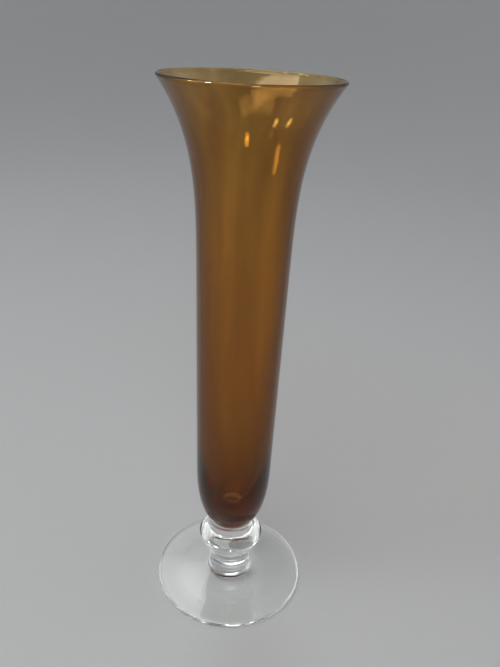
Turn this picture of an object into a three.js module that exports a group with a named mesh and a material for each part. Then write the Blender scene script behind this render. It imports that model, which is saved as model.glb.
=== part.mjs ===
// A glass bud vase: an amber trumpet bowl on a clear collar, a short clear stem and a clear disc
// foot, each a gather of glass fused to the next. Millimetres, +Z up. The foot rests on z = 0
// and every piece is a solid of revolution about the Z axis.
import * as THREE from "three";

// Driving dimensions. A radius is an outside radius unless its comment says otherwise.
const overallHeight = 204;
const rimRadius = 29;
const rimWall = 1.3;

const bodyRadius = 14.9; // at the body's start
const bodyTaper = 0.0147; // growth of the body's radius per millimetre of height
const bodyStart = 58; // the rounded bottom ends here and the straight body begins
const bodyWall = 2.7; // at the body's start, thinning evenly to the rim
const flareStart = 136;
const flarePower = 3.9; // how late and how suddenly the mouth opens out
const bottomDepth = 30; // from the body's start down to where the rounding would close
const bottomRoundness = 2.5; // 2 is an ellipse, more is squarer
const cavityFloor = 38; // lowest point inside the bowl
const cavityStart = 78; // the cavity's rounded floor ends here

const seatHeight = 32; // the bowl is fused to the collar here
const collarRadius = 13.2;
const collarHeight = 23; // height of the collar's widest ring
const stemHeight = 18; // the collar is fused to the stem here
const stemRadius = 8.8;
const stemFlare = 1.4; // how far the stem spreads where it meets the foot
const filletHeight = 2.4; // the stem spreads over this height

const footRadius = 31;
const footEdge = 2.4; // thickness of the foot at its rounded edge
const footCrown = 4.4; // thickness of the foot at the stem
const footSlope = 1.5; // 1 is a straight cone, more keeps the foot thin for longer
const kickHeight = 0.9; // depth of the shallow hollow under the foot
const kickRadius = 22;

const lipHeight = overallHeight - rimWall / 2; // the rounded lip starts here
const sides = 48; // facets around the axis

function mix(from, to, share) {
  return from + (to - from) * share;
}

// Profile points from a function of a share that runs from 0 to 1 in even steps.
function trace(steps, pointAt) {
  return Array.from({ length: steps + 1 }, (_, i) => pointAt(i / steps));
}

// Half a circle of profile points about [radius, height], starting at an angle in radians.
function halfCircle(radius, height, size, startAngle, steps) {
  return trace(steps, (share) => {
    const angle = startAngle + Math.PI * share;
    return [radius + size * Math.cos(angle), height + size * Math.sin(angle)];
  });
}

// A solid of revolution about Z. Its profile is a list of [radius, height], going up the
// outside and coming back down the inside.
function turned(name, profile, material) {
  const outline = profile.map(([radius, height]) => new THREE.Vector2(radius, height));
  const geometry = new THREE.LatheGeometry(outline, sides);
  geometry.rotateX(Math.PI / 2);
  const mesh = new THREE.Mesh(geometry, material);
  mesh.name = name;
  return mesh;
}

function glass(colour) {
  return new THREE.MeshStandardMaterial({ color: colour, roughness: 0.03, metalness: 0 });
}

// Outside radius of the bowl: a slightly tapered body, opened out by a power curve at the
// mouth and drawn in by a squarish ellipse at the bottom.
function bowlRadius(height) {
  const body = bodyRadius + bodyTaper * (height - bodyStart);
  const lipBody = bodyRadius + bodyTaper * (lipHeight - bodyStart);
  const opening = Math.max(0, (height - flareStart) / (lipHeight - flareStart));
  const drop = Math.max(0, (bodyStart - height) / bottomDepth);
  const drawnIn = (1 - drop ** bottomRoundness) ** (1 / bottomRoundness);
  return (body + (rimRadius - lipBody) * opening ** flarePower) * drawnIn;
}

function cavityRadius(height) {
  const share = (height - bodyStart) / (lipHeight - bodyStart);
  return bowlRadius(height) - mix(bodyWall, rimWall, share);
}

function makeBowl(material) {
  const bottom = trace(8, (share) => {
    const height = mix(seatHeight, bodyStart, share ** 1.5);
    return [bowlRadius(height), height];
  });
  const mouthHeights = trace(9, (share) => mix(flareStart, lipHeight, Math.sqrt(share)));
  const outside = mouthHeights.map((height) => [bowlRadius(height), height]);
  const lip = halfCircle(rimRadius - rimWall / 2, lipHeight, rimWall / 2, 0, 6).slice(1, -1);
  const inside = mouthHeights.map((height) => [cavityRadius(height), height]).reverse();
  const floor = trace(9, (share) => {
    const angle = (share * Math.PI) / 2;
    return [
      share < 1 ? cavityRadius(cavityStart) * Math.cos(angle) ** (2 / bottomRoundness) : 0,
      mix(cavityStart, cavityFloor, Math.sin(angle) ** (2 / bottomRoundness)),
    ];
  });
  const profile = [[0, seatHeight], ...bottom, ...outside, ...lip, ...inside, ...floor];
  return turned("trumpet_bowl", profile, material);
}

// A rounded ring between two short necks, drawn as one smooth curve.
function makeCollar(material) {
  const neckRadius = bowlRadius(seatHeight);
  const curve = new THREE.SplineCurve([
    new THREE.Vector2(stemRadius, stemHeight),
    new THREE.Vector2(mix(stemRadius, collarRadius, 0.3), collarHeight - 2.8),
    new THREE.Vector2(mix(stemRadius, collarRadius, 0.8), collarHeight - 1.9),
    new THREE.Vector2(collarRadius, collarHeight),
    new THREE.Vector2(mix(neckRadius, collarRadius, 0.85), collarHeight + 1.3),
    new THREE.Vector2(mix(neckRadius, collarRadius, 0.15), collarHeight + 3.6),
    new THREE.Vector2(neckRadius, collarHeight + 5),
    new THREE.Vector2(neckRadius, seatHeight),
  ]);
  const ring = curve.getPoints(24).map((point) => [point.x, point.y]);
  return turned("collar", [[0, stemHeight], ...ring, [0, seatHeight]], material);
}

// A short cylinder that spreads into the foot through a fillet.
function makeStem(material) {
  const fillet = trace(6, (share) => {
    const angle = (share * Math.PI) / 2;
    return [
      stemRadius + stemFlare * (1 - Math.sin(angle)),
      footCrown + filletHeight * (1 - Math.cos(angle)),
    ];
  });
  const profile = [[0, footCrown], ...fillet, [stemRadius, stemHeight], [0, stemHeight]];
  return turned("stem", profile, material);
}

function makeFoot(material) {
  const edgeRadius = footEdge / 2;
  const edgeCentre = footRadius - edgeRadius;
  const kick = trace(5, (share) => [kickRadius * share, kickHeight * (1 - share ** 2)]);
  const edge = halfCircle(edgeCentre, edgeRadius, edgeRadius, -Math.PI / 2, 6);
  const top = trace(5, (share) => [
    mix(edgeCentre, stemRadius + stemFlare, share),
    mix(footEdge, footCrown, share ** footSlope),
  ]).slice(1);
  return turned("disc_foot", [...kick, ...edge, ...top, [0, footCrown]], material);
}

const vase = new THREE.Group();
vase.add(makeBowl(glass(0x8a4a12)));
vase.add(makeCollar(glass(0xdfe6e8)));
vase.add(makeStem(glass(0xe2e8ea)));
vase.add(makeFoot(glass(0xe4eaec)));

export default vase;
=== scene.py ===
"""The glass bud vase: an amber trumpet bowl on a clear collar, stem and disc foot.

Every piece is a finely turned solid that takes its main heights and radii from the CAD frame.
The pieces are fused glass, so the faces where they meet are welds that neither bend nor mirror
light.
"""
import math

import bpy
from mathutils import Matrix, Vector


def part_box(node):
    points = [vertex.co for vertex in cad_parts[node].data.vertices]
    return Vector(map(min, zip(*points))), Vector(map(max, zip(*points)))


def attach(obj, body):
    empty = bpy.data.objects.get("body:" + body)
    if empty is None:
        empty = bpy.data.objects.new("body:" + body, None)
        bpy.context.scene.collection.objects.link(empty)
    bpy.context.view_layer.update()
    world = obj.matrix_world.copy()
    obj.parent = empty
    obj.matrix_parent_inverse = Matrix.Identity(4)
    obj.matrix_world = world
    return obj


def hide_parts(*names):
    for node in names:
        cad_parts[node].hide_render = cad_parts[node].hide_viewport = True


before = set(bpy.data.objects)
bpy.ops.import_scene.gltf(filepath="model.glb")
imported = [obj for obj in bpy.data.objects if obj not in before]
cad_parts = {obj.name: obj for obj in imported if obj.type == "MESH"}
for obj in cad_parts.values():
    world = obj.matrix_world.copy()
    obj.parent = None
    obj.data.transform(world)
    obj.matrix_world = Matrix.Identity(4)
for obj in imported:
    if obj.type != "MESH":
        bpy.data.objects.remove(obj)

MM = 0.001
SIDES = 256  # facets round the axis
STEP = 0.7 * MM  # spacing of the rings along a profile
WELD_GAP = 0.01 * MM  # keeps the two faces of a weld from lying in one plane

# Shape of the bowl, as the CAD model has it
RIM_WALL = 1.3 * MM
BODY_RADIUS = 14.9 * MM
BODY_TAPER = 0.0147
BODY_START = 58 * MM
BODY_WALL = 2.7 * MM
FLARE_START = 136 * MM
FLARE_POWER = 3.9
BOTTOM_DEPTH = 30 * MM
BOTTOM_ROUNDNESS = 2.5
CAVITY_FLOOR = 38 * MM
CAVITY_START = 78 * MM

# Shape of the clear pieces
COLLAR_HEIGHT = 23 * MM
STEM_RADIUS = 8.8 * MM
FILLET_HEIGHT = 2.4 * MM
FOOT_EDGE = 2.4 * MM
FOOT_SLOPE = 1.5
KICK_HEIGHT = 0.9 * MM
KICK_RADIUS = 22 * MM

# Heights and radii that the frame gives
SEAT_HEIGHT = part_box("trumpet_bowl")[0].z
RIM_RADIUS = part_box("trumpet_bowl")[1].x
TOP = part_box("trumpet_bowl")[1].z
COLLAR_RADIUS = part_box("collar")[1].x
STEM_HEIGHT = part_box("stem")[1].z
CROWN_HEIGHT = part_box("stem")[0].z
CROWN_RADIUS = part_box("stem")[1].x
FOOT_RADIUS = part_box("disc_foot")[1].x
LIP_HEIGHT = TOP - RIM_WALL / 2

BOUNCES = 32  # enough for light to find its way out of the fused clear pieces

# Colours of the amber glass: its stain from the bowl's bottom, 0, to its rim, 1, with painted shade
# darkening it to near black at the seat, and the rest
STAIN_AND_SEAT_SHADE = [
    # the first two stops: a deeper amber with painted shade over the seat, where the bowl sits on the
    # collar
    (0.0, (0.03, 0.018, 0.01, 1)),
    (0.07, (0.08, 0.04, 0.016, 1)),
    (0.2, (0.32, 0.16, 0.045, 1)),
    (0.35, (0.57, 0.29, 0.07, 1)),
    (0.7, (0.66, 0.35, 0.07, 1)),
    (1.0, (0.74, 0.43, 0.075, 1)),
]
CORD_STAIN = (0.38, 0.18, 0.04, 1)
# deep brown of painted shade for the bowl's edges seen edge on, over the stain's deeper look at a slant
EDGE_STAIN_AND_SHADE = (0.12, 0.05, 0.015, 1)
AMBER_SHEEN = (1, 0.74, 0.45, 1)
AMBER_BODY = (0.805, 0.533, 0.062, 1)
AMBER_DENSITY = 274

LIGHT_DISTANCE = 0.9  # from the vase's axis, in metres
LAMP_TINT = (0.8, 1, 0.75)

# Camera, as far from the axis and as high above the floor as the photograph's was
CAMERA_DISTANCE = 200.9 * MM
CAMERA_HEIGHT = 218.2 * MM
CAMERA_YAW = 1.03
CAMERA_PITCH = -26.6
CAMERA_ROLL = 3.2
CAMERA_LENS = 33.5


def mix(start, end, share):
    return start + (end - start) * share


def trace(length, point_at):
    """Profile points from a function of a share from 0 to 1, about STEP apart on that length.

    A length longer than the profile's own gives closer rings.
    """
    steps = max(3, math.ceil(length / STEP))
    return [point_at(i / steps) for i in range(steps + 1)]


def half_circle(radius, height, size, start_angle):
    """A rounded edge of that size about (radius, height), traced finely for its tight curve."""
    def point(share):
        angle = start_angle + math.pi * share
        return radius + size * math.cos(angle), height + size * math.sin(angle)

    return trace(8 * math.pi * size, point)


def smooth_curve(points, per_span=10):
    """A Catmull-Rom curve through the points, as [radius, height]."""
    padded = [points[0], *points, points[-1]]
    curve = []
    for a, b, c, d in zip(padded, padded[1:], padded[2:], padded[3:]):
        for i in range(per_span):
            t = i / per_span
            curve.append(tuple(
                0.5 * (2 * q + (r - p) * t + (2 * p - 5 * q + 4 * r - s) * t**2
                       + (3 * q - p - 3 * r + s) * t**3)
                for p, q, r, s in zip(a, b, c, d)
            ))
    return [*curve, tuple(points[-1])]


def bowl_radius(height):
    body = BODY_RADIUS + BODY_TAPER * (height - BODY_START)
    lip_body = BODY_RADIUS + BODY_TAPER * (LIP_HEIGHT - BODY_START)
    opening = max(0, (height - FLARE_START) / (LIP_HEIGHT - FLARE_START))
    drop = min(max(0, (BODY_START - height) / BOTTOM_DEPTH), 1)
    drawn_in = (1 - drop**BOTTOM_ROUNDNESS) ** (1 / BOTTOM_ROUNDNESS)
    return (body + (RIM_RADIUS - lip_body) * opening**FLARE_POWER) * drawn_in


def cavity_radius(height):
    share = (height - BODY_START) / (LIP_HEIGHT - BODY_START)
    return bowl_radius(height) - mix(BODY_WALL, RIM_WALL, share)


def lathe(name, profile, material):
    """A smooth shaded surface of revolution about the Z axis, from points of (radius, height)."""
    points, rings = [], []
    for radius, height in profile:
        if radius < 1e-7:
            rings.append([len(points)])
            points.append((0, 0, height))
            continue
        rings.append(list(range(len(points), len(points) + SIDES)))
        for i in range(SIDES):
            angle = 2 * math.pi * i / SIDES
            points.append((radius * math.cos(angle), radius * math.sin(angle), height))
    faces = []
    for low, high in zip(rings, rings[1:]):
        for i in range(SIDES):
            j = (i + 1) % SIDES
            if len(low) == 1:
                faces.append((low[0], high[j], high[i]))
            elif len(high) == 1:
                faces.append((low[i], low[j], high[0]))
            else:
                faces.append((low[i], low[j], high[j], high[i]))
    mesh = bpy.data.meshes.new(name)
    mesh.from_pydata(points, [], faces)
    mesh.polygons.foreach_set("use_smooth", [True] * len(faces))
    mesh.set_sharp_from_angle(angle=math.radians(50))
    mesh.materials.append(material)
    piece = bpy.data.objects.new(name, mesh)
    bpy.context.scene.collection.objects.link(piece)
    return piece


def glass_piece(name, profile, material, node, welds):
    """A turned solid whose flat faces at the weld heights are joined to its neighbour."""
    piece = lathe(name, profile, material)
    weld = piece.data.attributes.new("weld", "FLOAT", "FACE")
    for face in piece.data.polygons:
        flat = abs(face.normal.z) > 0.999
        at_joint = any(abs(face.center.z - height) < 1e-6 for height in welds)
        weld.data[face.index].value = float(flat and at_joint)
    outside = piece.data.attributes.new("outside", "FLOAT", "FACE")
    for face in piece.data.polygons:
        outward = face.normal.x * face.center.x + face.normal.y * face.center.y > 0
        outside.data[face.index].value = float(outward)
    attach(piece, "root")
    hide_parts(node)
    return piece


def make_bowl(material):
    bottom = trace(40 * MM, lambda share: (
        bowl_radius(mix(SEAT_HEIGHT, BODY_START, share**1.5)),
        mix(SEAT_HEIGHT, BODY_START, share**1.5),
    ))
    body = trace(FLARE_START - BODY_START, lambda share: (
        bowl_radius(mix(BODY_START, FLARE_START, share)), mix(BODY_START, FLARE_START, share)
    ))
    mouth = trace(80 * MM, lambda share: (
        bowl_radius(mix(FLARE_START, LIP_HEIGHT, share)), mix(FLARE_START, LIP_HEIGHT, share)
    ))
    lip = half_circle(RIM_RADIUS - RIM_WALL / 2, LIP_HEIGHT, RIM_WALL / 2, 0)
    throat = trace(150 * MM, lambda share: (
        cavity_radius(mix(LIP_HEIGHT, CAVITY_START, share)), mix(LIP_HEIGHT, CAVITY_START, share)
    ))
    floor = trace(60 * MM, lambda share: (
        cavity_radius(CAVITY_START) * math.cos(share * math.pi / 2) ** (2 / BOTTOM_ROUNDNESS),
        mix(CAVITY_START, CAVITY_FLOOR, math.sin(share * math.pi / 2) ** (2 / BOTTOM_ROUNDNESS)),
    ))
    profile = [(0, SEAT_HEIGHT), *bottom, *body[1:], *mouth[1:], *lip[1:-1], *throat, *floor[1:-1],
               (0, CAVITY_FLOOR)]
    glass_piece("trumpet_bowl_glass", profile, material, "trumpet_bowl", [SEAT_HEIGHT])


def make_collar(material):
    neck = bowl_radius(SEAT_HEIGHT)
    top = SEAT_HEIGHT - WELD_GAP
    ring = smooth_curve([
        (STEM_RADIUS, STEM_HEIGHT),
        (mix(STEM_RADIUS, COLLAR_RADIUS, 0.3), COLLAR_HEIGHT - 2.8 * MM),
        (mix(STEM_RADIUS, COLLAR_RADIUS, 0.8), COLLAR_HEIGHT - 1.9 * MM),
        (COLLAR_RADIUS, COLLAR_HEIGHT),
        (mix(neck, COLLAR_RADIUS, 0.85), COLLAR_HEIGHT + 1.3 * MM),
        (mix(neck, COLLAR_RADIUS, 0.15), COLLAR_HEIGHT + 3.6 * MM),
        (neck, COLLAR_HEIGHT + 5 * MM),
        (neck, top),
    ])
    profile = [(0, STEM_HEIGHT), *ring, (0, top)]
    return glass_piece("collar_glass", profile, material, "collar", [STEM_HEIGHT, top])


def make_stem(material):
    top = STEM_HEIGHT - WELD_GAP
    fillet = trace(12 * MM, lambda share: (
        mix(CROWN_RADIUS, STEM_RADIUS, math.sin(share * math.pi / 2)),
        CROWN_HEIGHT + FILLET_HEIGHT * (1 - math.cos(share * math.pi / 2)),
    ))
    side = trace(12 * MM, lambda share: (STEM_RADIUS, mix(CROWN_HEIGHT + FILLET_HEIGHT, top, share)))
    profile = [(0, CROWN_HEIGHT), *fillet, *side[1:], (0, top)]
    return glass_piece("stem_glass", profile, material, "stem", [CROWN_HEIGHT, top])


def make_foot(material):
    top = CROWN_HEIGHT - WELD_GAP
    edge_centre = FOOT_RADIUS - FOOT_EDGE / 2
    kick = trace(KICK_RADIUS, lambda share: (KICK_RADIUS * share, KICK_HEIGHT * (1 - share**2)))
    edge = half_circle(edge_centre, FOOT_EDGE / 2, FOOT_EDGE / 2, -math.pi / 2)
    crown = trace(20 * MM, lambda share: (
        mix(edge_centre, CROWN_RADIUS, share), mix(FOOT_EDGE, top, share**FOOT_SLOPE)
    ))
    profile = [(0, KICK_HEIGHT), *kick[1:], *edge, *crown[1:], (0, top)]
    return glass_piece("disc_foot_glass", profile, material, "disc_foot", [top])


class Nodes:
    """A short way to add and link shader nodes."""

    def __init__(self, owner):
        owner.use_nodes = True
        self.tree = owner.node_tree
        self.tree.nodes.clear()

    def add(self, kind, links=(), **values):
        node = self.tree.nodes.new("ShaderNode" + kind)
        for name, value in values.items():
            setattr(node, name, value)
        for socket, value in dict(links).items():
            target = node.inputs[socket]
            if isinstance(value, bpy.types.NodeSocket):
                self.tree.links.new(value, target)
            else:
                target.default_value = value
        return node


def streaks(n, stretch, scale, detail=2):
    """Noise drawn out along the axis, as the ripples of hand-blown glass are."""
    place = n.add("TexCoord").outputs["Object"]
    mapped = n.add("Mapping", {"Vector": place, "Scale": (1, 1, stretch)}).outputs[0]
    return n.add("TexNoise", {"Vector": mapped, "Scale": scale, "Detail": detail}).outputs["Fac"]


def glass_material(name, colour, ripple, ripple_stretch, sheen=(1, 1, 1, 1), absorption=None, density=0):
    """Smooth glass with faint ripples and handling marks, and welds that let light straight on."""
    material = bpy.data.materials.new(name)
    n = Nodes(material)
    weld = n.add("Attribute", attribute_name="weld").outputs["Fac"]
    ior = n.add("MapRange", {"Value": weld, "To Min": 1.5, "To Max": 1.0}).outputs[0]
    marks = n.add("MapRange", {
        "Value": streaks(n, 1, 60, 5), "From Min": 0.5, "From Max": 0.8, "To Min": 0.0, "To Max": 0.05,
    }).outputs[0]
    waves = streaks(n, ripple_stretch, 90)
    bump = n.add("Bump", {"Height": waves, "Strength": 1.0, "Distance": ripple}).outputs[0]
    shader = n.add("BsdfPrincipled", {
        "Base Color": colour(n),
        "Roughness": marks,
        "IOR": ior,
        "Specular Tint": sheen,
        "Transmission Weight": 1.0,
        "Normal": bump,
    })
    links = {"Surface": shader.outputs[0]}
    if absorption:
        links["Volume"] = n.add("VolumeAbsorption", {"Color": absorption, "Density": density}).outputs[0]
    n.add("OutputMaterial", links)
    return material


def amber_colour(n):
    """The amber stain lies on the outside of the bowl; it looks deeper where it is seen edge on, and
    painted shade darkens it further there and at the seat.
    """
    place = n.add("TexCoord").outputs["Object"]
    height = n.add("SeparateXYZ", {"Vector": place}).outputs["Z"]
    share = n.add("MapRange", {"Value": height, "From Min": SEAT_HEIGHT, "From Max": TOP}).outputs[0]
    ramp = n.add("ValToRGB", {"Fac": share})
    for at, _ in STAIN_AND_SEAT_SHADE[1:-1]:
        ramp.color_ramp.elements.new(at)
    for stop, (at, tint) in zip(ramp.color_ramp.elements, STAIN_AND_SEAT_SHADE):
        stop.position = at
        stop.color = tint
    cords = n.add("MapRange", {
        "Value": streaks(n, 0.1, 120, 3), "From Min": 0.35, "From Max": 0.65, "To Min": 0.0, "To Max": 0.9,
    }).outputs[0]
    corded = n.add("MixRGB", {"Fac": cords, "Color1": ramp.outputs[0], "Color2": CORD_STAIN})
    # Painted shade: where the bowl is seen edge on, the stain is darkened towards a deep brown, more than
    # the longer path through it would darken it
    facing = n.add("LayerWeight", {"Blend": 0.5}).outputs["Facing"]
    edge_on = n.add("MapRange", {
        "Value": facing, "From Min": 0.12, "From Max": 0.62, "To Min": 0.0, "To Max": 0.92,
    }, interpolation_type="SMOOTHSTEP").outputs[0]
    stain_and_edge_shade = n.add("MixRGB", {
        "Fac": edge_on, "Color1": corded.outputs[0], "Color2": EDGE_STAIN_AND_SHADE,
    }).outputs[0]
    outside = n.add("Attribute", attribute_name="outside").outputs["Fac"]
    return n.add("MixRGB", {"Fac": outside, "Color1": (1, 1, 1, 1), "Color2": stain_and_edge_shade}).outputs[0]


def clear_colour(n):
    """Nearly white, with the faint cool cast of thick soda glass."""
    tint = streaks(n, 1, 30)
    return n.add("MixRGB", {
        "Fac": tint, "Color1": (0.975, 0.985, 0.985, 1), "Color2": (0.995, 0.998, 0.995, 1),
    }).outputs[0]


def floor_material():
    material = bpy.data.materials.new("pale_floor")
    n = Nodes(material)
    grain = streaks(n, 1, 900, 3)
    tone = n.add("MixRGB", {
        "Fac": grain, "Color1": (0.56, 0.56, 0.57, 1), "Color2": (0.6, 0.6, 0.61, 1),
    }).outputs[0]
    bump = n.add("Bump", {"Height": grain, "Strength": 0.2, "Distance": 0.1 * MM}).outputs[0]
    shader = n.add("BsdfPrincipled", {"Base Color": tone, "Roughness": 0.85, "Normal": bump})
    n.add("OutputMaterial", {"Surface": shader.outputs[0]})
    return material


def make_floor():
    """A round studio floor that sweeps up into a wall far behind the vase on every side."""
    flat, bend, drop = 0.9, 0.64, -0.05 * MM
    sweep = [(flat * share, drop) for share in (0.05, 0.1, 0.2, 0.5, 1)]
    for i in range(1, 17):
        angle = math.pi / 2 * i / 16
        sweep.append((flat + bend * math.sin(angle), drop + bend * (1 - math.cos(angle))))
    floor = lathe("floor", [(0, drop), *sweep], floor_material())


def softbox(name, azimuth, elevation, width, height, brightness, aim=0.93 * TOP, tint=(1, 1, 1)):
    """A flat light at LIGHT_DISTANCE from the axis at the aim's height, which the camera doesn't see.

    Azimuth 0 is the camera's side, and + is right.
    """
    data = bpy.data.lights.new(name, "AREA")
    data.shape = "RECTANGLE"
    data.size = width
    data.size_y = height
    data.energy = brightness * math.pi * width * height
    data.color = tint
    light = bpy.data.objects.new(name, data)
    turn = Matrix.Rotation(math.radians(azimuth), 4, "Z")
    tilt = Matrix.Rotation(math.radians(90 - elevation), 4, "X")
    away = Matrix.Translation((0, 0, LIGHT_DISTANCE))
    light.matrix_world = Matrix.Translation((0, 0, aim)) @ turn @ tilt @ away
    light.visible_camera = False
    bpy.context.scene.collection.objects.link(light)
    return light


def make_lights(clear_pieces):
    """Windows above the vase, small lights that glint in the bowl, and boxes for the clear pieces."""
    softbox("window", -12, 44, 0.85, 0.22, 2)
    softbox("skylight", -45, 55, 0.9, 0.3, 3.5)
    for name, azimuth, elevation, width, height, brightness in [
        ("left_lamp", -52, 27, 0.1, 0.05, 220),
        ("low_left_lamp", -46, 20, 0.05, 0.03, 220),
        ("far_left_lamp", -80, 23, 0.1, 0.05, 220),
        ("front_lamp", 5, 18, 0.12, 0.1, 220),
        ("doorway", -67, 6, 0.14, 0.2, 16),
    ]:
        lamp = softbox(name, azimuth, elevation, width, height, brightness, tint=LAMP_TINT)
        lamp.visible_diffuse = False
    edged = bpy.data.collections.new("edged_pieces")
    for piece in clear_pieces:
        edged.objects.link(piece)
    for side in (-1, 1):
        box = softbox("edge_box", side * 116, 20, 0.8, 0.55, 6, aim=COLLAR_HEIGHT)
        box.light_linking.receiver_collection = edged
        box.visible_diffuse = False
        box.visible_transmission = False


def make_world():
    """A dim white room, brighter at its two sides, with a soft glow high up behind the vase."""
    world = bpy.data.worlds.new("studio")
    n = Nodes(world)
    direction = n.add("TexCoord").outputs["Generated"]
    axes = n.add("SeparateXYZ", {"Vector": direction})
    sideways = n.add("Math", {0: axes.outputs["X"]}, operation="ABSOLUTE").outputs[0]
    side = n.add("MapRange", {
        "Value": sideways, "From Min": 0.35, "From Max": 0.8, "To Min": 0.0, "To Max": 0.7,
    }, interpolation_type="SMOOTHSTEP").outputs[0]
    height = n.add("MapRange", {
        "Value": axes.outputs["Z"], "From Min": 0.05, "From Max": 0.4,
    }, interpolation_type="SMOOTHSTEP").outputs[0]
    room = n.add("Math", {0: side, 1: height, 2: 0.16}, operation="MULTIPLY_ADD").outputs[0]
    towards = n.add("VectorMath", {0: direction, 1: (-0.13, 0.53, 0.84)}, operation="DOT_PRODUCT")
    glow = n.add("MapRange", {
        "Value": towards.outputs["Value"], "From Min": 0.965, "From Max": 0.998,
        "To Min": 0.0, "To Max": 2.5,
    }, interpolation_type="SMOOTHSTEP").outputs[0]
    level = n.add("Math", {0: room, 1: glow}, operation="ADD").outputs[0]
    light = n.add("Background", {"Color": (0.98, 0.99, 1, 1), "Strength": level}).outputs[0]
    n.add("OutputWorld", {"Surface": light})
    bpy.context.scene.world = world


def make_camera():
    data = bpy.data.cameras.new("camera")
    data.sensor_width = 36
    data.lens = CAMERA_LENS
    data.clip_start = 0.01
    camera = bpy.data.objects.new("camera", data)
    turn = Matrix.Rotation(math.radians(-CAMERA_YAW), 4, "Z")
    tilt = Matrix.Rotation(math.radians(90 + CAMERA_PITCH), 4, "X")
    roll = Matrix.Rotation(math.radians(CAMERA_ROLL), 4, "Z")
    camera.matrix_world = Matrix.Translation((0, -CAMERA_DISTANCE, CAMERA_HEIGHT)) @ turn @ tilt @ roll
    bpy.context.scene.collection.objects.link(camera)
    bpy.context.scene.camera = camera


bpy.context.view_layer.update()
make_camera()
make_bowl(glass_material(
    "amber_glass", amber_colour, ripple=0.05 * MM, ripple_stretch=0.15,
    sheen=AMBER_SHEEN, absorption=AMBER_BODY, density=AMBER_DENSITY,
))
clear = glass_material("clear_glass", clear_colour, ripple=0.05 * MM, ripple_stretch=1)
clear_pieces = [make_collar(clear), make_stem(clear), make_foot(clear)]
make_floor()
make_lights(clear_pieces)
make_world()
scene = bpy.context.scene
scene.view_settings.view_transform = "Standard"
scene.cycles.max_bounces = BOUNCES
scene.cycles.transmission_bounces = BOUNCES
scene.cycles.glossy_bounces = BOUNCES
scene.cycles.blur_glossy = 0  # blurred, the light that falls through the clear foot is lost
